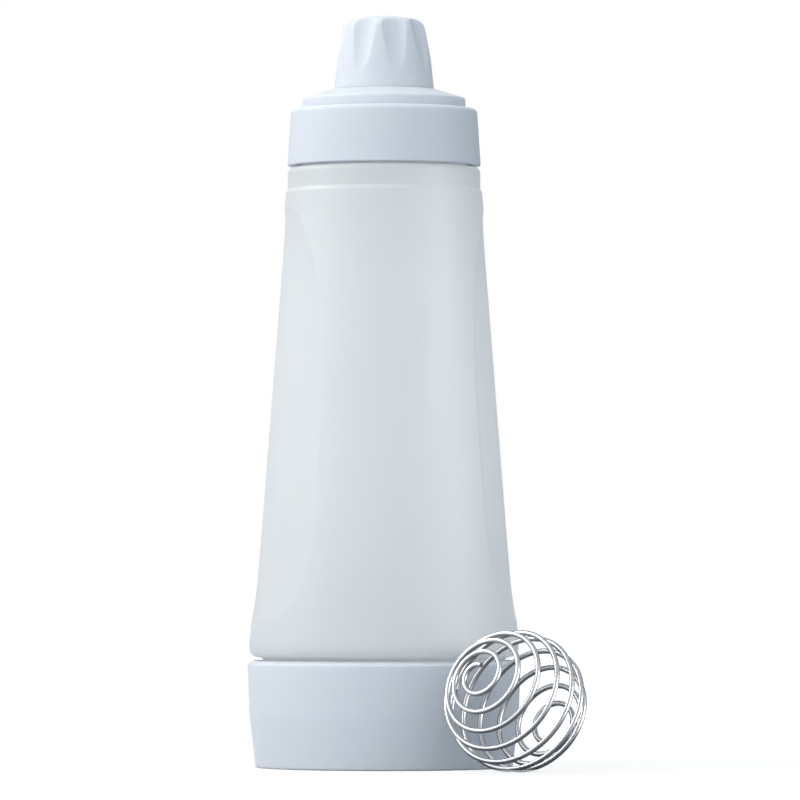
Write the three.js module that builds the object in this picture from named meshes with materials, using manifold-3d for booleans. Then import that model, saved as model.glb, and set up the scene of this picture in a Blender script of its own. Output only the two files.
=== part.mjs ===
// Squeeze batter dispenser with a loose wire mixing ball.
// Millimetres, Z up, origin at the centre of the base's underside, front towards -Y.
import * as THREE from 'three';
import { mergeVertices } from 'three/addons/utils/BufferGeometryUtils.js';
import Module from 'manifold-3d';

const wasm = await Module();
wasm.setup();

// Fits shared by every screwed or seated pair
const RUN_CLEARANCE = 0.6; // radial room between a male ridge and the bore round it
const RIDGE_RELIEF = 0.3; // how much lower an inner ridge stands than the outer one
const SEAT_GAP = 0.2; // room between faces that seat on each other
const SLIP_GAP = 0.4; // radial room round a piece that sits or turns in a hole

// Heights, from the floor up
const BASE_FLOOR = 2.0;
const SHELF_HEIGHT = 21.4;
const SHELF_THICK = 2.0;
const BASE_GASKET = 2.0;
const LOWER_NECK_LENGTH = 14.0;
const BASE_SEAM = 0.8;
const BODY_HEIGHT = 169.8;
const UPPER_NECK_LENGTH = 14.0;
const LID_SEAM = 0.6;
const LID_GASKET = 1.6;
const PLATE_FLANGE = 1.6;
const COLLAR_LIP = 2.6;
const STEP_HEIGHT = 3.6;
const DOME_RISE = 2.8;
const SPOUT_HEIGHT = 10.4;
const CAP_SEAM = 0.2;
const NOZZLE_REACH = 10.4;
const NOZZLE_FLANGE = 1.6;
const RETAINER_THICK = 2.2;
const LINER_THICK = 1.6;
const CROWN_THICK = 2.8;

// Radii and walls
const LOWER_NECK_RADIUS = 42.0;
const LOWER_RIDGE = 2.2;
const UPPER_NECK_RADIUS = 28.6;
const UPPER_RIDGE = 1.6;
const SPOUT_RADIUS = 10.8;
const SPOUT_RIDGE = 1.4;
const NECK_WALL = 1.8;
const BODY_WALL = 1.6;
const BASE_WALL = 2.45;
const BASE_SKIN = 1.8;
const BASE_TAPER = 2.75;
const CUP_WALL = 2.0;
const BODY_INSET = 0.65; // bottle's foot inside the base's rim
const BAND_INSET = 0.15; // bottle's neck band inside the collar's foot
const BAND_HEIGHT = 7.4;
const BAND_STEP = 0.65;
const COLLAR_WALL = 2.7;
const COLLAR_TAPER = 1.3;
const COLLAR_ROUND = 4.2;
const LIP_HOLD = 1.0; // plate's flange beyond its step, under the collar's lip
const PLATE_WALL = 1.9;
const SPOUT_WALL = 2.4;
const NOZZLE_WALL = 1.8;
const NOZZLE_HOLE = 2.4;
const BOSS_WALL = 1.8;
const CAP_WALL = 4.5;
const CAP_TAPER = 3.7;
const CAP_ROUND = 4.5;
const CROWN_RISE = 1.4; // crown's middle over its shoulder
const CROWN_FLAT = 5.0; // radius of the crown's level middle
const LINER_RADIUS = 8.5;

// Threads: all right-handed
const PITCH = 3.0;
const NECK_STARTS = 3;
const SPOUT_STARTS = 2;
const RIDGE_FOOT = 1.5;
const RIDGE_TIP = 0.7;
const RIDGE_SPAN = 3.6; // height that one ridge climbs
const RIDGE_BITE = 0.4; // how far a ridge is sunk into its wall

// Cap flutes
const FLUTE_COUNT = 8;
const FLUTE_TURN = -75; // degrees, middle of one flute
const FLUTE_RADIUS = 8.0;
const FLUTE_DEPTH = 2.8;
const FLUTE_LENGTH = 18.0;

// Grip recesses, one on each side
const GRIP_DEPTH = 1.34; // at the lower end
const GRIP_FADE = 0.12; // share of that depth at the upper end
const GRIP_TURN = -170; // degrees, middle of the left recess
const GRIP_HALF_ANGLE = 47;
const GRIP_LENGTH = 143;
const GRIP_TOP_GAP = 14; // from the bottle's upper shoulder
const GRIP_CREASE_LOW = 6; // how sharply the recess's floor meets its edge, at the lower end
const GRIP_CREASE_HIGH = 12; // the same at the upper end

// Wire ball
const BALL_DIAMETER = 48.4;
const WIRE_DIAMETER = 1.8;
const WIRE_TURNS = 9.47;
const WIRE_FROM = 9; // degrees from the near pole to the wire's first end
const WIRE_TO = 165.3; // degrees from the same pole to its last end
const WIRE_EASE = 44.7; // degrees, larger draws the turns together at the ends
const WIRE_PHASE = -8.7;
const BALL_STANDOFF = 3.6;
const BALL_BEARING = -53.8; // degrees, where the ball stands round the base
const BALL_AXIS = new THREE.Vector3(-0.563, -0.725, 0.396).normalize();

// Mesh fineness
const SEGMENTS = 32;
const FILLET_STEPS = 2;
const GRIP_RINGS = 14;
const WIRE_SIDES = 6;
const STEPS_PER_TURN = 24;

// Stack of levels
const gasketTop = SHELF_HEIGHT + BASE_GASKET + SEAT_GAP;
const lowerRim = gasketTop + SEAT_GAP;
const bodyBottom = lowerRim + LOWER_NECK_LENGTH;
const baseTop = bodyBottom - BASE_SEAM;
const bodyTop = bodyBottom + BODY_HEIGHT;
const upperRim = bodyTop + UPPER_NECK_LENGTH;
const collarBottom = bodyTop + LID_SEAM;
const lidGasketBottom = upperRim + SEAT_GAP;
const flangeBottom = lidGasketBottom + LID_GASKET + SEAT_GAP;
const flangeTop = flangeBottom + PLATE_FLANGE;
const lipBottom = flangeTop + SEAT_GAP;
const collarTop = lipBottom + COLLAR_LIP;
const stepTop = collarTop + STEP_HEIGHT;
const domeTop = stepTop + DOME_RISE;
const spoutRim = domeTop + SPOUT_HEIGHT;
const nozzleTip = spoutRim + NOZZLE_REACH;
const linerBottom = nozzleTip + SEAT_GAP;
const roof = linerBottom + LINER_THICK + SEAT_GAP;
const capBottom = domeTop + CAP_SEAM;
const capTop = roof + CROWN_THICK;

// Radii that follow from the fits
const baseBore = LOWER_NECK_RADIUS + LOWER_RIDGE + RUN_CLEARANCE;
const baseRim = baseBore + BASE_WALL;
const baseFoot = baseRim - BASE_TAPER;
const bodyFoot = baseRim - BODY_INSET;
const collarBore = UPPER_NECK_RADIUS + UPPER_RIDGE + RUN_CLEARANCE;
const collarFoot = collarBore + COLLAR_WALL;
const bandRadius = collarFoot - BAND_INSET;
const bodyShoulder = bandRadius + BAND_STEP;
const flangeRadius = UPPER_NECK_RADIUS + RUN_CLEARANCE;
const stepRadius = flangeRadius - LIP_HOLD;
const collarHole = stepRadius + SLIP_GAP;
const spoutBore = SPOUT_RADIUS - SPOUT_WALL;
const bossBore = SPOUT_RADIUS + BOSS_WALL / 2;
const capBore = SPOUT_RADIUS + SPOUT_RIDGE + RUN_CLEARANCE;
const capFoot = capBore + CAP_WALL;
const plateUnder = domeTop - PLATE_WALL;
const nozzleBottom = plateUnder - SEAT_GAP - NOZZLE_FLANGE;
const retainerBottom = nozzleBottom - SEAT_GAP - RETAINER_THICK;

// Closed mesh from a geometry, with the collapsed triangles on the axis dropped
function solid(geometry) {
  geometry.deleteAttribute('normal');
  geometry.deleteAttribute('uv');
  const merged = mergeVertices(geometry, 1e-4);
  const index = merged.index.array;
  const kept = [];
  for (let i = 0; i < index.length; i += 3) {
    const [a, b, c] = [index[i], index[i + 1], index[i + 2]];
    if (a !== b && b !== c && c !== a) kept.push(a, b, c);
  }
  const mesh = new wasm.Mesh({
    numProp: 3,
    vertProperties: new Float32Array(merged.attributes.position.array),
    triVerts: new Uint32Array(kept),
  });
  return new wasm.Manifold(mesh);
}

function geometryOf(manifold) {
  const mesh = manifold.getMesh();
  const geometry = new THREE.BufferGeometry();
  const spots = new Float32Array(mesh.vertProperties);
  geometry.setAttribute('position', new THREE.BufferAttribute(spots, 3));
  geometry.setIndex(new THREE.BufferAttribute(new Uint32Array(mesh.triVerts), 1));
  geometry.computeVertexNormals();
  return geometry;
}

// Outline points from corners [radius, height, fillet]; a fillet keeps within its two edges
function outline(corners) {
  const points = [];
  const count = corners.length;
  for (let i = 0; i < count; i += 1) {
    const [radius, height, fillet = 0] = corners[i];
    const here = new THREE.Vector2(radius, height);
    if (fillet === 0) {
      points.push(here);
      continue;
    }
    const sides = [corners[(i + count - 1) % count], corners[(i + 1) % count]];
    const arms = sides.map((s) => new THREE.Vector2(s[0], s[1]).sub(here));
    const half = Math.acos(arms[0].dot(arms[1]) / (arms[0].length() * arms[1].length())) / 2;
    const room = arms.map((arm, k) => arm.length() * (sides[k][2] ? 0.49 : 0.98));
    const cut = Math.min(fillet / Math.tan(half), ...room);
    const ends = arms.map((arm) => arm.setLength(cut).add(here));
    points.push(...new THREE.QuadraticBezierCurve(ends[0], here, ends[1]).getPoints(FILLET_STEPS));
  }
  return points;
}

// Turned geometry about Z: the outer side of the outline runs upwards
function turnedGeometry(points, segments = SEGMENTS) {
  const closed = points[0].x > 0 ? [...points, points[0].clone()] : points;
  const geometry = new THREE.LatheGeometry(closed, segments);
  geometry.rotateX(Math.PI / 2);
  return geometry;
}

function turned(corners, segments = SEGMENTS) {
  return solid(turnedGeometry(outline(corners), segments));
}

function ring(inner, outer, bottom, top) {
  return turned([[inner, bottom], [outer, bottom], [outer, top], [inner, top]]);
}

// Thread ridges on a wall: a straight bar bent round the helix that passes phaseHeight at angle 0
function ridges({ wall, tip, starts, from, phaseHeight }) {
  const lead = PITCH * starts;
  const foot = wall - Math.sign(tip - wall) * RIDGE_BITE;
  const sweep = (2 * Math.PI * RIDGE_SPAN) / lead;
  const steps = Math.round((sweep * SEGMENTS) / (2 * Math.PI));
  const section = new THREE.Shape([
    new THREE.Vector2(foot, -RIDGE_FOOT / 2),
    new THREE.Vector2(tip, -RIDGE_TIP / 2),
    new THREE.Vector2(tip, RIDGE_TIP / 2),
    new THREE.Vector2(foot, RIDGE_FOOT / 2),
  ]);
  const bar = new THREE.ExtrudeGeometry(section, { depth: 1, steps, bevelEnabled: false });
  const spots = bar.attributes.position;
  for (let i = 0; i < spots.count; i += 1) {
    const along = spots.getZ(i);
    const height = from + RIDGE_SPAN * (1 - along);
    const fromEnd = Math.min(along, 1 - along) * steps;
    const full = Math.min(1, 0.4 + 0.3 * fromEnd);
    const radius = foot + (spots.getX(i) - foot) * full;
    const angle = (2 * Math.PI * (height - phaseHeight)) / lead;
    spots.setXYZ(i, radius * Math.cos(angle), radius * Math.sin(angle), height + spots.getY(i));
  }
  const one = solid(bar);
  return Array.from({ length: starts }, (_, k) => one.rotate([0, 0, (360 * k) / starts]));
}

function united(...solids) {
  return wasm.Manifold.union(solids.flat());
}

// Base cap: threaded skirt and inner cup, joined by the shelf that carries the gasket
const cupInside = LOWER_NECK_RADIUS - NECK_WALL - CUP_WALL - 0.8;
const cupOutside = cupInside + CUP_WALL;
const shelfUnder = SHELF_HEIGHT - SHELF_THICK;
const lowerRidgeFrom = lowerRim + 1.9;
const baseCap = united(
  turned([
    [0, 0],
    [cupOutside, 0, 1.2],
    [cupOutside, shelfUnder],
    [baseBore - 0.5, shelfUnder],
    [baseFoot - BASE_SKIN, 0],
    [baseFoot, 0, 3.0],
    [baseRim - BASE_TAPER * 0.24, baseTop * 0.5, 60],
    [baseRim, baseTop - 1.1, 0.5],
    [baseBore + 0.4, baseTop],
    [baseBore, baseTop - 0.5],
    [baseBore, SHELF_HEIGHT],
    [cupInside, SHELF_HEIGHT],
    [cupInside, BASE_FLOOR, 4.0],
    [0, BASE_FLOOR],
  ]),
  ridges({
    wall: baseBore,
    tip: baseBore - LOWER_RIDGE + RIDGE_RELIEF,
    starts: NECK_STARTS,
    from: lowerRidgeFrom + PITCH / 2,
    phaseHeight: lowerRidgeFrom + PITCH / 2,
  }),
);
const baseGasket = ring(cupInside + 0.6, baseBore - SLIP_GAP, SHELF_HEIGHT + SEAT_GAP, gasketTop);

// Bottle: one shell open at both ends, with the grips pressed into it
const bodyLow = bodyBottom + 4.6;
const bandBottom = bodyTop - BAND_HEIGHT;
const bodyHigh = bandBottom - 1.2;
const gripTop = bodyTop - GRIP_TOP_GAP;
const gripBottom = gripTop - GRIP_LENGTH;
const gripMiddle = (gripTop + gripBottom) / 2;
const gripRings = Array.from({ length: GRIP_RINGS + 1 }, (_, k) => (
  THREE.MathUtils.lerp(gripBottom, gripTop, k / GRIP_RINGS)
));
const bodyRings = [bodyLow, ...gripRings.filter((z) => z > bodyLow && z < bodyHigh), bodyHigh];
const bodySide = (inset) => bodyRings.map((height) => {
  const radius = THREE.MathUtils.mapLinear(height, bodyLow, bodyHigh, bodyFoot, bodyShoulder);
  return [radius - inset, height];
});
const bottlePoints = outline([
  [LOWER_NECK_RADIUS - NECK_WALL, lowerRim],
  [LOWER_NECK_RADIUS, lowerRim, 0.5],
  [LOWER_NECK_RADIUS, bodyBottom],
  [bodyFoot - 0.2, bodyBottom + 0.9, 3.2],
  ...bodySide(0),
  [bandRadius, bandBottom],
  [bandRadius, bodyTop, 2.2],
  [UPPER_NECK_RADIUS, bodyTop],
  [UPPER_NECK_RADIUS, upperRim, 0.5],
  [UPPER_NECK_RADIUS - NECK_WALL, upperRim],
  [UPPER_NECK_RADIUS - NECK_WALL, bodyTop - BODY_WALL],
  [bandRadius - BODY_WALL, bodyTop - BODY_WALL, 1.0],
  [bandRadius - BODY_WALL, bandBottom],
  ...bodySide(BODY_WALL).reverse(),
  [bodyFoot - BODY_WALL - 0.2, bodyBottom + 0.9 + BODY_WALL, 1.2],
  [LOWER_NECK_RADIUS - NECK_WALL, bodyBottom + BODY_WALL],
]);

// Depth of the grip recess at an angle and height: an upright oval, rounder and shallower above
function gripDepth(angle, height) {
  const turn = THREE.MathUtils.radToDeg(angle) - GRIP_TURN;
  const across = Math.abs(((((turn + 90) % 180) + 180) % 180) - 90) / GRIP_HALF_ANGLE;
  const along = Math.abs(height - gripMiddle) / (GRIP_LENGTH / 2);
  const power = height > gripMiddle ? 2.6 : 4.5;
  const outward = (across ** power + along ** power) ** (1 / power);
  const depth = GRIP_DEPTH * THREE.MathUtils.mapLinear(height, gripBottom, gripTop, 1, GRIP_FADE);
  const crease = THREE.MathUtils.mapLinear(height, gripBottom, gripTop, GRIP_CREASE_LOW, GRIP_CREASE_HIGH);
  return outward < 1 ? depth * (1 - outward ** crease) : 0;
}

const bottleShell = turnedGeometry(bottlePoints);
const shellSpots = bottleShell.attributes.position;
for (let i = 0; i < shellSpots.count; i += 1) {
  const [x, y, z] = [shellSpots.getX(i), shellSpots.getY(i), shellSpots.getZ(i)];
  const radius = Math.hypot(x, y);
  const pressed = (radius - gripDepth(Math.atan2(y, x), z)) / radius;
  shellSpots.setXY(i, x * pressed, y * pressed);
}
const upperRidgeFrom = upperRim - 1.9 - RIDGE_SPAN;
const bottle = united(
  solid(bottleShell),
  ridges({
    wall: LOWER_NECK_RADIUS,
    tip: LOWER_NECK_RADIUS + LOWER_RIDGE,
    starts: NECK_STARTS,
    from: lowerRidgeFrom,
    phaseHeight: lowerRidgeFrom,
  }),
  ridges({
    wall: UPPER_NECK_RADIUS,
    tip: UPPER_NECK_RADIUS + UPPER_RIDGE,
    starts: NECK_STARTS,
    from: upperRidgeFrom,
    phaseHeight: upperRidgeFrom,
  }),
);

// Collar: screws on the upper neck, and its lip holds the plate down on the gasket
const lidCollar = united(
  turned([
    [collarBore, collarBottom],
    [collarFoot, collarBottom, 0.6],
    [collarFoot - COLLAR_TAPER, collarTop, COLLAR_ROUND],
    [collarHole, collarTop],
    [collarHole, lipBottom],
    [collarBore, lipBottom],
  ]),
  ridges({
    wall: collarBore,
    tip: collarBore - UPPER_RIDGE + RIDGE_RELIEF,
    starts: NECK_STARTS,
    from: upperRidgeFrom - PITCH / 2,
    phaseHeight: upperRidgeFrom - PITCH / 2,
  }),
);
const lidGasket = ring(
  UPPER_NECK_RADIUS - NECK_WALL - 0.2,
  flangeRadius,
  lidGasketBottom,
  lidGasketBottom + LID_GASKET,
);

// Spout plate: flange under the collar's lip, stepped edge, low dome and threaded spout
const spoutRidgeFrom = spoutRim - 2.0 - RIDGE_SPAN;
const bossBottom = retainerBottom - 0.6;
const spoutDome = united(
  turned([
    [stepRadius - PLATE_WALL, flangeBottom],
    [flangeRadius, flangeBottom],
    [flangeRadius, flangeTop],
    [stepRadius, flangeTop],
    [stepRadius, stepTop, 1.0],
    [stepRadius - 4.2, stepTop + 1.3, 4.0],
    [capFoot + 0.6, domeTop - 0.2, 1.0],
    [capFoot - 1.0, domeTop],
    [SPOUT_RADIUS, domeTop],
    [SPOUT_RADIUS, spoutRim, 0.5],
    [spoutBore, spoutRim, 0.4],
    [spoutBore, plateUnder],
    [bossBore, plateUnder],
    [bossBore, bossBottom],
    [bossBore + BOSS_WALL, bossBottom],
    [bossBore + BOSS_WALL, plateUnder],
    [capFoot - 1.0, plateUnder],
    [stepRadius - 4.6, stepTop + 1.3 - PLATE_WALL],
    [stepRadius - PLATE_WALL, stepTop - PLATE_WALL],
  ]),
  ridges({
    wall: SPOUT_RADIUS,
    tip: SPOUT_RADIUS + SPOUT_RIDGE,
    starts: SPOUT_STARTS,
    from: spoutRidgeFrom,
    phaseHeight: spoutRidgeFrom,
  }),
);

// Soft nozzle: flange held up by the retainer, stem in the spout, tapered tip with an open hole
const stemRadius = spoutBore - SLIP_GAP;
const flangeReach = bossBore - SLIP_GAP;
const nozzle = turned([
  [stemRadius - NOZZLE_WALL, nozzleBottom],
  [flangeReach, nozzleBottom],
  [flangeReach, nozzleBottom + NOZZLE_FLANGE],
  [stemRadius, nozzleBottom + NOZZLE_FLANGE],
  [stemRadius, spoutRim + 0.4, 1.0],
  [NOZZLE_HOLE + 1.3, nozzleTip, 0.7],
  [NOZZLE_HOLE, nozzleTip],
  [stemRadius - NOZZLE_WALL, spoutRim - 1.4],
]);
const nozzleRetainer = ring(
  stemRadius - NOZZLE_WALL,
  flangeReach,
  retainerBottom,
  retainerBottom + RETAINER_THICK,
);

// Twist cap: threaded bore, hollow for the nozzle, and flutes that deepen towards the crown
const linerSeat = LINER_RADIUS + SLIP_GAP;
const capHeight = capTop - capBottom;
const capWaist = capFoot - CAP_TAPER * 0.3;
const capShoulder = capFoot - CAP_TAPER;
const capBody = turned([
  [0, roof],
  [linerSeat, roof],
  [linerSeat, linerBottom - 0.8],
  [capBore, spoutRim + 1.2],
  [capBore, capBottom],
  [capFoot, capBottom, 1.0],
  [capWaist, capBottom + capHeight * 0.42, 30],
  [capShoulder, capTop - CROWN_RISE, CAP_ROUND],
  [CROWN_FLAT, capTop, 3 * CAP_ROUND],
  [0, capTop],
]);

// One flute cutter: a leaning cylinder whose inner side leaves the cap's face at the flute's foot
const fluteFoot = capTop - FLUTE_LENGTH;
const fluteLean = Math.atan2(capWaist - capShoulder + FLUTE_DEPTH, FLUTE_LENGTH);
const cutter = new THREE.CylinderGeometry(FLUTE_RADIUS, FLUTE_RADIUS, 3 * FLUTE_LENGTH, 20);
cutter.rotateX(Math.PI / 2);
cutter.translate(FLUTE_RADIUS, 0, 0);
cutter.rotateY(-fluteLean);
cutter.translate(capWaist, 0, fluteFoot);
const flute = solid(cutter);
const flutes = Array.from({ length: FLUTE_COUNT }, (_, k) => (
  flute.rotate([0, 0, FLUTE_TURN + (360 * k) / FLUTE_COUNT])
));
const twistCap = united(
  capBody.subtract(united(flutes)),
  ridges({
    wall: capBore,
    tip: capBore - SPOUT_RIDGE + RIDGE_RELIEF,
    starts: SPOUT_STARTS,
    from: spoutRidgeFrom - PITCH / 2,
    phaseHeight: spoutRidgeFrom - PITCH / 2,
  }),
);
const capLiner = turned([
  [0, linerBottom],
  [LINER_RADIUS, linerBottom],
  [LINER_RADIUS, linerBottom + LINER_THICK],
  [0, linerBottom + LINER_THICK],
]);

// Wire ball: one length of wire wound from pole to pole over a sphere
const wireRadius = (BALL_DIAMETER - WIRE_DIAMETER) / 2;
class BallWire extends THREE.Curve {
  getPoint(share, target = new THREE.Vector3()) {
    const ease = THREE.MathUtils.degToRad(WIRE_EASE);
    const wave = Math.sin(ease * (2 * share - 1)) / Math.sin(ease);
    const polar = THREE.MathUtils.degToRad(THREE.MathUtils.mapLinear(wave, -1, 1, WIRE_FROM, WIRE_TO));
    const turn = THREE.MathUtils.degToRad(WIRE_PHASE) + 2 * Math.PI * WIRE_TURNS * share;
    const across = wireRadius * Math.sin(polar);
    return target.set(
      across * Math.cos(turn),
      across * Math.sin(turn),
      wireRadius * Math.cos(polar),
    );
  }

  // Even steps in turn, so the small end rings are as round as the wide ones
  getUtoTmapping(share) {
    return share;
  }
}

const wire = new BallWire();
const wireSteps = Math.round(WIRE_TURNS * STEPS_PER_TURN);
const wireSection = new THREE.Shape(Array.from({ length: WIRE_SIDES }, (_, k) => {
  const angle = (2 * Math.PI * k) / WIRE_SIDES;
  return new THREE.Vector2(Math.cos(angle), Math.sin(angle)).multiplyScalar(WIRE_DIAMETER / 2);
}));
const ball = new THREE.ExtrudeGeometry(wireSection, { steps: wireSteps, extrudePath: wire });
const ballUp = new THREE.Vector3(0, 0, 1).projectOnPlane(BALL_AXIS).normalize();
const ballSide = new THREE.Vector3().crossVectors(BALL_AXIS, ballUp);
ball.applyMatrix4(new THREE.Matrix4().makeBasis(ballUp, ballSide, BALL_AXIS));
ball.computeBoundingBox();
const bearing = THREE.MathUtils.degToRad(BALL_BEARING);
const ballReach = baseRim + BALL_DIAMETER / 2 + BALL_STANDOFF;
ball.translate(
  ballReach * Math.cos(bearing),
  ballReach * Math.sin(bearing),
  -ball.boundingBox.min.z,
);
const whiskBall = solid(ball);

// Least gap of the wire to itself, on points that lie more than half a turn apart along it
const wirePoints = wire.getPoints(wireSteps * 2);
let wireGap = Infinity;
for (let i = 0; i < wirePoints.length; i += 1) {
  for (let j = i + STEPS_PER_TURN; j < wirePoints.length; j += 1) {
    wireGap = Math.min(wireGap, wirePoints[i].distanceTo(wirePoints[j]) - WIRE_DIAMETER);
  }
}
console.log(`whisk_ball: least gap of the wire to itself ${wireGap.toFixed(2)} mm`);

const BLUE = { color: '#c3d0dc', roughness: 0.42, metalness: 0 };
const FROSTED = { color: '#dfe6ea', roughness: 0.55, metalness: 0 };
const SOFT = { color: '#e9edf0', roughness: 0.7, metalness: 0 };
const STEEL = { color: '#c9ccd0', roughness: 0.22, metalness: 1 };
const pieces = [
  ['base_cap', baseCap, BLUE],
  ['base_gasket', baseGasket, SOFT],
  ['bottle', bottle, FROSTED],
  ['lid_collar', lidCollar, BLUE],
  ['lid_gasket', lidGasket, SOFT],
  ['spout_dome', spoutDome, BLUE],
  ['nozzle', nozzle, SOFT],
  ['nozzle_retainer', nozzleRetainer, BLUE],
  ['twist_cap', twistCap, BLUE],
  ['cap_liner', capLiner, SOFT],
  ['whisk_ball', whiskBall, STEEL],
];

const dispenser = new THREE.Group();
dispenser.name = 'batter_dispenser';
for (const [name, shape, finish] of pieces) {
  const mesh = new THREE.Mesh(geometryOf(shape), new THREE.MeshStandardMaterial(finish));
  mesh.name = name;
  dispenser.add(mesh);
}
export default dispenser;
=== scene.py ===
"""Looks of the squeeze batter dispenser: frosted bottle, pale blue caps and a wire mixing ball."""

import math

import bpy
from mathutils import Matrix, Vector


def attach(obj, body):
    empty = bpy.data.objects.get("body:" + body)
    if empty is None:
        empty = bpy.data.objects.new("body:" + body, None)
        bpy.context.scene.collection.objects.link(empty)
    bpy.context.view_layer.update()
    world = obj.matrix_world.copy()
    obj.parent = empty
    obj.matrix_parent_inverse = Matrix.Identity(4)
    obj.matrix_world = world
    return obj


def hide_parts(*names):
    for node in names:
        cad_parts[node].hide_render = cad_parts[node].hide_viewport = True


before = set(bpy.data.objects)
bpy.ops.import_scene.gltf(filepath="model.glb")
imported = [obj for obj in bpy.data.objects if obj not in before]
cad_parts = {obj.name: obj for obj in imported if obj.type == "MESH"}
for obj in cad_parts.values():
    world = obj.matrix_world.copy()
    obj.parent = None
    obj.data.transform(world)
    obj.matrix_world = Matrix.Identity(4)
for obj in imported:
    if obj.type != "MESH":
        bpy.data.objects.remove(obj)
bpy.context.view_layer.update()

MM = 0.001

# Sizes in millimetres and angles in radians; those that the solids have are the same there
RUN_CLEARANCE = 0.6
RIDGE_RELIEF = 0.3
SEAT_GAP = 0.2
SLIP_GAP = 0.4
SHELF_HEIGHT = 21.4
GASKET_TOP = 23.6
LOWER_RIM = 23.8
BASE_TOP = 37.0
BODY_BOTTOM = 37.8
BODY_TOP = 207.6
COLLAR_BOTTOM = 208.2
UPPER_RIM = 221.6
FLANGE_BOTTOM = 223.6
FLANGE_TOP = 225.2
LIP_BOTTOM = 225.4
COLLAR_TOP = 228.0
STEP_TOP = 231.6
DOME_TOP = 234.4
CAP_BOTTOM = 234.6
SPOUT_RIM = 244.8
NOZZLE_TIP = 255.2
LINER_BOTTOM = 255.4
ROOF = 257.2
CAP_TOP = 260.0
LOWER_NECK = 42.0
LOWER_RIDGE = 2.2
UPPER_NECK = 28.6
UPPER_RIDGE = 1.6
SPOUT = 10.8
SPOUT_RIDGE = 1.4
SPOUT_WALL = 2.4
NECK_WALL = 1.8
BODY_WALL = 1.6
BASE_WALL = 2.0
CUP_INSIDE = LOWER_NECK - NECK_WALL - 2.8
BASE_BORE = LOWER_NECK + LOWER_RIDGE + RUN_CLEARANCE
BASE_RIM = BASE_BORE + 2.45
BASE_TAPER = 2.75
BASE_FOOT = BASE_RIM - BASE_TAPER
BODY_FOOT = BASE_RIM - 0.65
COLLAR_BORE = UPPER_NECK + UPPER_RIDGE + RUN_CLEARANCE
COLLAR_FOOT = COLLAR_BORE + 2.7
BAND = COLLAR_FOOT - 0.15
BAND_BOTTOM = BODY_TOP - 7.4
BODY_SHOULDER = BAND + 0.65
BODY_LOW = BODY_BOTTOM + 4.6
BODY_HIGH = BAND_BOTTOM - 1.2
FLANGE = UPPER_NECK + RUN_CLEARANCE
STEP = FLANGE - 1.0
PLATE_WALL = 1.9
PLATE_UNDER = DOME_TOP - PLATE_WALL
BOSS_BORE = SPOUT + 0.9
BOSS_WALL = 1.8
SEAL_THICKNESS = 1.6
NOZZLE_BOTTOM = PLATE_UNDER - SEAT_GAP - SEAL_THICKNESS
NOZZLE_WALL = 1.8
NOZZLE_TIP_RADIUS = 3.7
NOZZLE_OUTLET = 2.4
RETAINER_HEIGHT = 2.2
RETAINER_BOTTOM = NOZZLE_BOTTOM - SEAT_GAP - RETAINER_HEIGHT
BOSS_BOTTOM = RETAINER_BOTTOM - 0.6
STEM = SPOUT - SPOUT_WALL - SLIP_GAP
CAP_BORE = SPOUT + SPOUT_RIDGE + RUN_CLEARANCE
CAP_FOOT = CAP_BORE + 4.5
CAP_TAPER = 3.7
CROWN_RISE = 1.4
CAP_WAIST = CAP_FOOT - CAP_TAPER * 0.3
CAP_SHOULDER = CAP_FOOT - CAP_TAPER
LINER = 8.5
LINER_SEAT = LINER + SLIP_GAP
PITCH = 3.0
RIDGE_SPAN = 3.6
RIDGE_OVERRUN = 1.04
RIDGE_FOOT = 1.5
RIDGE_BITE = 0.4
LOWER_RIDGE_FROM = LOWER_RIM + 1.9
UPPER_RIDGE_FROM = UPPER_RIM - 1.9 - RIDGE_SPAN
SPOUT_RIDGE_FROM = SPOUT_RIM - 2.0 - RIDGE_SPAN
FLUTE_COUNT = 8
FLUTE_TURN = math.radians(-75)
FLUTE_RADIUS = 8.0
FLUTE_LENGTH = 18.0
FLUTE_DEPTH = 2.8
FLUTE_LEAN = math.atan2(CAP_WAIST - CAP_SHOULDER + FLUTE_DEPTH, FLUTE_LENGTH)
FLUTE_SOFTNESS = 0.5
GRIP_LENGTH = 143.0
GRIP_MIDDLE = BODY_TOP - 14 - GRIP_LENGTH / 2
GRIP_DEPTH = 1.34
GRIP_LIP = 0.7
GRIP_FLOOR = GRIP_DEPTH - GRIP_LIP * 1.2
GRIP_FADE = 0.12
GRIP_TURN = math.radians(-170)
GRIP_HALF_ANGLE = math.radians(47)
BALL_DIAMETER = 48.4
BALL_AXIS = Vector((-0.563, -0.725, 0.396)).normalized()
BALL_AWAY = BASE_RIM + BALL_DIAMETER / 2 + 3.6
BALL_BEARING = math.radians(-53.8)
WIRE_DIAMETER = 1.8
WIRE_TURNS = 9.47


def linear(code, alpha=1.0):
    """Linear colour from an sRGB hex code."""
    parts = [int(code[i:i + 2], 16) / 255 for i in (1, 3, 5)]
    return [c / 12.92 if c <= 0.04045 else ((c + 0.055) / 1.055) ** 2.4 for c in parts] + [alpha]


def add(tree, kind, inputs=None, **settings):
    """Adds a node with its settings; an input takes a value, a socket, or a node's first output."""
    node = tree.nodes.new(kind)
    for key, value in settings.items():
        setattr(node, key, value)
    for key, value in (inputs or {}).items():
        if isinstance(value, bpy.types.Node):
            value = value.outputs[0]
        if isinstance(value, bpy.types.NodeSocket):
            tree.links.new(value, node.inputs[key])
        else:
            node.inputs[key].default_value = value
    return node


def new_material(name):
    material = bpy.data.materials.new(name)
    material.use_nodes = True
    material.node_tree.nodes.clear()
    return material, material.node_tree


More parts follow.
